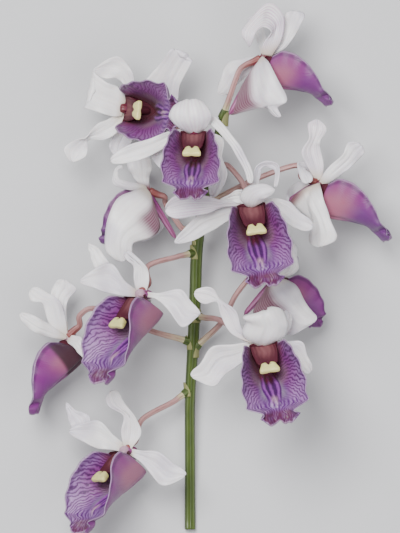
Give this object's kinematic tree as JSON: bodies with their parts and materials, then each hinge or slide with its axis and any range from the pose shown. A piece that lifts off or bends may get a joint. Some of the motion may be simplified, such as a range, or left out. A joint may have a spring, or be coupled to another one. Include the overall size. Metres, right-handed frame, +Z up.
{
  "type": "dendrobium orchid spray",
  "caption": "Cut arching orchid spray lying on its back: waxy white twisted tepals, boat-shaped violet lips and a green stem.",
  "frame": {"origin": "centre of the bounding box's base, on the surface the spray lies on", "axes": "+Z up from the surface towards the viewer, +Y along the spray from the cut end towards its tip, +X to the right seen from above"},
  "size_m": [0.1477, 0.2114, 0.0796],
  "materials": {
    "stem": "fresh moss green stalk, satin",
    "pedicel": "pink-mauve to red-brown fresh stalk, satin",
    "tepals": "waxy white petal with faint lilac veins",
    "lip": "violet veined petal, salmon-pink outside at the root",
    "column": "maroon, waxy",
    "anther_cap": "pale yellow, waxy"
  },
  "bodies": {
    "root": {"stem": "stem", "bloom_01_pedicel": "pedicel", "bloom_01_tepals": "tepals", "bloom_01_lip": "lip", "bloom_01_column": "column", "bloom_01_anther_cap": "anther_cap", "bloom_02_pedicel": "pedicel", "bloom_02_tepals": "tepals", "bloom_02_lip": "lip", "bloom_02_column": "column", "bloom_02_anther_cap": "anther_cap", "bloom_03_pedicel": "pedicel", "bloom_03_tepals": "tepals", "bloom_03_lip": "lip", "bloom_03_column": "column", "bloom_03_anther_cap": "anther_cap", "bloom_04_pedicel": "pedicel", "bloom_04_tepals": "tepals", "bloom_04_lip": "lip", "bloom_04_column": "column", "bloom_04_anther_cap": "anther_cap", "bloom_05_pedicel": "pedicel", "bloom_05_tepals": "tepals", "bloom_05_lip": "lip", "bloom_05_column": "column", "bloom_05_anther_cap": "anther_cap", "bloom_06_pedicel": "pedicel", "bloom_06_tepals": "tepals", "bloom_06_lip": "lip", "bloom_06_column": "column", "bloom_06_anther_cap": "anther_cap", "bloom_07_pedicel": "pedicel", "bloom_07_tepals": "tepals", "bloom_07_lip": "lip", "bloom_07_column": "column", "bloom_07_anther_cap": "anther_cap", "bloom_08_pedicel": "pedicel", "bloom_08_tepals": "tepals", "bloom_08_lip": "lip", "bloom_08_column": "column", "bloom_08_anther_cap": "anther_cap", "bloom_09_pedicel": "pedicel", "bloom_09_tepals": "tepals", "bloom_09_lip": "lip", "bloom_09_column": "column", "bloom_09_anther_cap": "anther_cap", "bloom_10_pedicel": "pedicel", "bloom_10_tepals": "tepals", "bloom_10_lip": "lip", "bloom_10_column": "column", "bloom_10_anther_cap": "anther_cap", "bloom_11_pedicel": "pedicel", "bloom_11_tepals": "tepals", "bloom_11_lip": "lip", "bloom_11_column": "column", "bloom_11_anther_cap": "anther_cap"}
  },
  "joints": []
}
